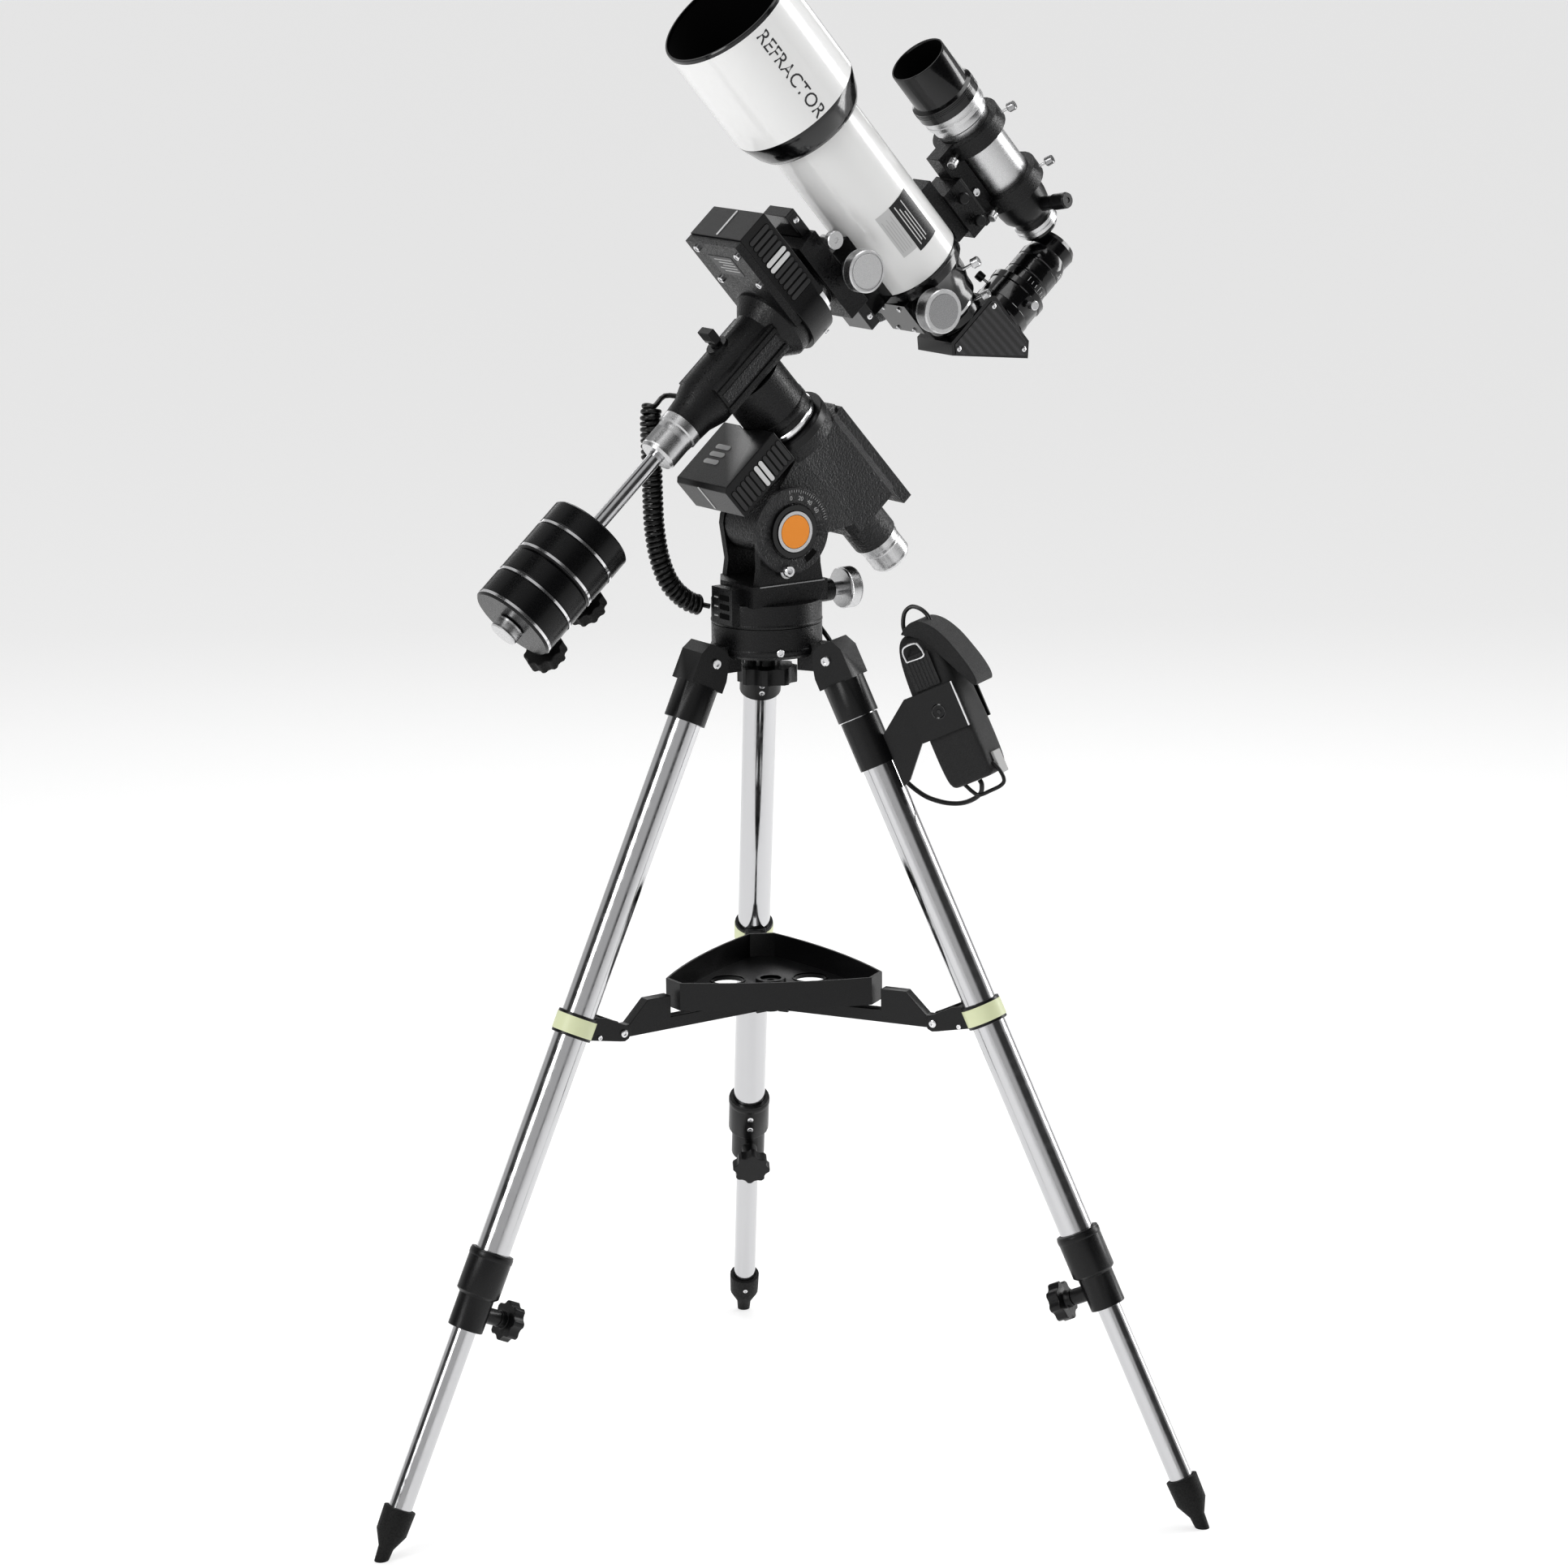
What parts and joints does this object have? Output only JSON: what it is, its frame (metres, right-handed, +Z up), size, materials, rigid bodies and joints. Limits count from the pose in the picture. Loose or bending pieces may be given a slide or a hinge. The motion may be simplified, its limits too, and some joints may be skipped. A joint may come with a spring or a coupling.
{
  "type": "telescope on tripod",
  "caption": "Short refractor telescope with finder and star diagonal on a motorised German equatorial mount, standing on a folding steel tripod with an accessory tray and a handset pouch.",
  "frame": {"origin": "on the floor, at the middle of the footprint box of everything but the cords; the azimuth axis is 52 mm towards +X from it", "axes": "+Z up; +X from the counterweights to the telescope tube; -Y to the side with the latitude dial and the ribbed motor panels"},
  "size_m": [0.8818, 0.855, 1.5792],
  "materials": {
    "black_casting": "textured black powder coat",
    "black_plastic": "satin black moulded plastic",
    "leg_steel": "polished stainless steel",
    "foot_rubber": "matt black rubber",
    "knurled_metal": "knurled satin aluminium",
    "white_paint": "gloss white paint",
    "lens_glass": "coated lens",
    "black_anodised": "gloss black anodised",
    "finder_metal": "satin silver with black rings",
    "black_sheet": "satin black bent sheet",
    "pouch_fabric": "black padded nylon",
    "cable_rubber": "black cable jacket"
  },
  "bodies": {
    "tripod": {"tripod_hub": "black_casting"},
    "centre_knob": {"centre_knob": "black_plastic"},
    "leg_north": {"leg_bracket_north": "black_plastic", "leg_tube_north": "leg_steel", "leg_collar_north": "black_plastic", "leg_clamp_north": "black_plastic"},
    "lower_leg_north": {"inner_leg_north": "leg_steel", "foot_north": "foot_rubber"},
    "clamp_knob_north": {"clamp_knob_north": "black_plastic"},
    "leg_west": {"leg_bracket_west": "black_plastic", "leg_tube_west": "leg_steel", "leg_collar_west": "black_plastic", "leg_clamp_west": "black_plastic", "handset_holder": "black_sheet", "handset_pouch": "pouch_fabric", "handset_cable": "cable_rubber"},
    "lower_leg_west": {"inner_leg_west": "leg_steel", "foot_west": "foot_rubber"},
    "clamp_knob_west": {"clamp_knob_west": "black_plastic"},
    "leg_east": {"leg_bracket_east": "black_plastic", "leg_tube_east": "leg_steel", "leg_collar_east": "black_plastic", "leg_clamp_east": "black_plastic"},
    "lower_leg_east": {"inner_leg_east": "leg_steel", "foot_east": "foot_rubber"},
    "clamp_knob_east": {"clamp_knob_east": "black_plastic"},
    "tray": {"accessory_tray": "black_plastic"},
    "arm_north": {"spreader_arm_north": "black_plastic"},
    "arm_west": {"spreader_arm_west": "black_plastic"},
    "arm_east": {"spreader_arm_east": "black_plastic"},
    "azimuth": {"mount_base": "black_casting", "altitude_dial": "black_casting", "curly_cable": "cable_rubber"},
    "altitude_knob": {"altitude_knob": "knurled_metal"},
    "polar": {"polar_housing": "black_casting", "ra_motor_box": "black_plastic"},
    "polar_cap": {"polar_scope_cap": "knurled_metal"},
    "right_ascension": {"dec_housing": "black_casting", "dec_motor_box": "black_plastic", "counterweight_shaft": "leg_steel", "shaft_stop": "knurled_metal"},
    "clutch_lever": {"clutch_lever": "black_plastic"},
    "shaft_collar": {"shaft_collar": "knurled_metal"},
    "counterweight_lower": {"counterweight_lower": "black_anodised"},
    "counterweight_upper": {"counterweight_upper": "black_anodised"},
    "weight_knob_lower": {"weight_knob_lower": "black_plastic"},
    "weight_knob_upper": {"weight_knob_upper": "black_plastic"},
    "declination": {"saddle": "black_casting", "dovetail_bar": "black_anodised", "main_tube": "white_paint", "objective_lens": "lens_glass", "focuser_body": "black_anodised", "finder_bracket": "black_anodised", "finder_scope": "finder_metal"},
    "saddle_knob": {"saddle_knob": "knurled_metal"},
    "dew_shield": {"dew_shield": "white_paint"},
    "drawtube": {"focuser_drawtube": "black_anodised"},
    "focus_knobs": {"focus_knobs": "knurled_metal"},
    "diagonal": {"star_diagonal": "black_anodised", "eyepiece": "black_anodised"}
  },
  "joints": [
    {"name": "centre_knob_turn", "type": "hinge", "parent": "tripod", "child": "centre_knob", "pos_m": [0.05185, 0, 0.86], "axis": [0, 0, 1], "continuous": true},
    {"name": "leg_fold_north", "type": "hinge", "parent": "tripod", "child": "leg_north", "pos_m": [-0.02315, 0, 0.88], "axis": [0, -1, 0], "range_deg": [0, 7.5]},
    {"name": "leg_extend_north", "type": "slide", "parent": "leg_north", "child": "lower_leg_north", "axis": [-0.4226, 0, -0.9063], "range_m": [-0.19, 0.3]},
    {"name": "clamp_knob_turn_north", "type": "hinge", "parent": "leg_north", "child": "clamp_knob_north", "pos_m": [-0.27675, 0, 0.22258], "axis": [0.9063, 0, -0.4226], "continuous": true},
    {"name": "leg_fold_west", "type": "hinge", "parent": "tripod", "child": "leg_west", "pos_m": [0.08935, -0.06495, 0.88], "axis": [0.866, 0.5, 0], "range_deg": [0, 7.5], "deforming": ["handset_cable"]},
    {"name": "leg_extend_west", "type": "slide", "parent": "leg_west", "child": "lower_leg_west", "axis": [0.2113, -0.366, -0.9063], "range_m": [-0.19, 0.3]},
    {"name": "clamp_knob_turn_west", "type": "hinge", "parent": "leg_west", "child": "clamp_knob_west", "pos_m": [0.21615, -0.28457, 0.22258], "axis": [-0.4532, 0.7849, -0.4226], "continuous": true},
    {"name": "leg_fold_east", "type": "hinge", "parent": "tripod", "child": "leg_east", "pos_m": [0.08935, 0.06495, 0.88], "axis": [-0.866, 0.5, 0], "range_deg": [0, 7.5]},
    {"name": "leg_extend_east", "type": "slide", "parent": "leg_east", "child": "lower_leg_east", "axis": [0.2113, 0.366, -0.9063], "range_m": [-0.19, 0.3]},
    {"name": "clamp_knob_turn_east", "type": "hinge", "parent": "leg_east", "child": "clamp_knob_east", "pos_m": [0.21615, 0.28457, 0.22258], "axis": [-0.4532, -0.7849, -0.4226], "continuous": true},
    {"name": "tray_lift", "type": "slide", "parent": "tripod", "child": "tray", "axis": [0, 0, 1], "range_m": [0, 0.1095]},
    {"name": "arm_fold_north", "type": "hinge", "parent": "tray", "child": "arm_north", "pos_m": [0.03385, 0, 0.507], "axis": [0, -1, 0], "range_deg": [0, 44.8]},
    {"name": "arm_fold_west", "type": "hinge", "parent": "tray", "child": "arm_west", "pos_m": [0.06085, -0.01559, 0.507], "axis": [0.866, 0.5, 0], "range_deg": [0, 44.8]},
    {"name": "arm_fold_east", "type": "hinge", "parent": "tray", "child": "arm_east", "pos_m": [0.06085, 0.01559, 0.507], "axis": [-0.866, 0.5, 0], "range_deg": [0, 44.8]},
    {"name": "azimuth_turn", "type": "hinge", "parent": "tripod", "child": "azimuth", "pos_m": [0.05185, 0, 0.93], "axis": [0, 0, 1], "range_deg": [-9, 9]},
    {"name": "altitude_knob_turn", "type": "hinge", "parent": "azimuth", "child": "altitude_knob", "pos_m": [0.15185, 0, 0.936], "axis": [1, 0, 0], "continuous": true},
    {"name": "altitude_tilt", "type": "hinge", "parent": "azimuth", "child": "polar", "pos_m": [0.05185, 0, 1.012], "axis": [0, 1, 0], "range_deg": [-24, 3], "deforming": ["curly_cable"]},
    {"name": "polar_cap_turn", "type": "hinge", "parent": "polar", "child": "polar_cap", "pos_m": [0.19926, 0, 0.97345], "axis": [-0.6561, 0, 0.7547], "continuous": true},
    {"name": "ra_turn", "type": "hinge", "parent": "polar", "child": "right_ascension", "pos_m": [0.01885, 0, 1.181], "axis": [-0.6561, 0, 0.7547], "range_deg": [-95, 95]},
    {"name": "clutch_turn", "type": "hinge", "parent": "right_ascension", "child": "clutch_lever", "pos_m": [-0.01117, 0, 1.20791], "axis": [-0.6561, 0, 0.7547], "range_deg": [-40, 40]},
    {"name": "shaft_collar_turn", "type": "hinge", "parent": "right_ascension", "child": "shaft_collar", "pos_m": [-0.06417, 0, 1.10883], "axis": [0.7547, 0, 0.6561], "continuous": true},
    {"name": "counterweight_lower_slide", "type": "slide", "parent": "right_ascension", "child": "counterweight_lower", "axis": [0.7547, 0, 0.6561], "range_m": [0, 0.05]},
    {"name": "counterweight_upper_slide", "type": "slide", "parent": "counterweight_lower", "child": "counterweight_upper", "axis": [0.7547, 0, 0.6561], "range_m": [0, 0.05]},
    {"name": "weight_knob_turn_lower", "type": "hinge", "parent": "counterweight_lower", "child": "weight_knob_lower", "pos_m": [-0.24379, 0, 0.95269], "axis": [0.6306, 0.2756, -0.7255], "continuous": true},
    {"name": "weight_knob_turn_upper", "type": "hinge", "parent": "counterweight_upper", "child": "weight_knob_upper", "pos_m": [-0.19594, 0, 0.99429], "axis": [0.6306, 0.2756, -0.7255], "continuous": true},
    {"name": "dec_turn", "type": "hinge", "parent": "right_ascension", "child": "declination", "pos_m": [0.09432, 0, 1.24661], "axis": [0.7547, 0, 0.6561], "range_deg": [-90, 90]},
    {"name": "saddle_knob_turn", "type": "hinge", "parent": "declination", "child": "saddle_knob", "pos_m": [0.1357, -0.058, 1.27065], "axis": [0, -1, 0], "continuous": true},
    {"name": "dew_shield_slide", "type": "slide", "parent": "declination", "child": "dew_shield", "axis": [0.6561, 0, -0.7547], "range_m": [0, 0.085]},
    {"name": "focuser_travel", "type": "slide", "parent": "declination", "child": "drawtube", "axis": [0.6561, 0, -0.7547], "range_m": [-0.003, 0.045]},
    {"name": "focus_knob_turn", "type": "hinge", "parent": "declination", "child": "focus_knobs", "pos_m": [0.23018, 0, 1.22293], "axis": [0, 1, 0], "range_deg": [-43.2, 645]},
    {"name": "diagonal_turn", "type": "hinge", "parent": "drawtube", "child": "diagonal", "pos_m": [0.31836, 0, 1.17636], "axis": [-0.6561, 0, 0.7547], "range_deg": [-90, 90]}
  ],
  "couplings": [
    {"joint": "leg_fold_west", "follows": "leg_fold_north", "ratio": 1},
    {"joint": "leg_fold_east", "follows": "leg_fold_north", "ratio": 1},
    {"joint": "tray_lift", "follows": "leg_fold_north", "m_per_rad": 0.8327},
    {"joint": "arm_fold_north", "follows": "leg_fold_north", "ratio": 5.96},
    {"joint": "arm_fold_west", "follows": "leg_fold_north", "ratio": 5.96},
    {"joint": "arm_fold_east", "follows": "leg_fold_north", "ratio": 5.96},
    {"joint": "focus_knob_turn", "follows": "focuser_travel", "rad_per_m": 250}
  ]
}
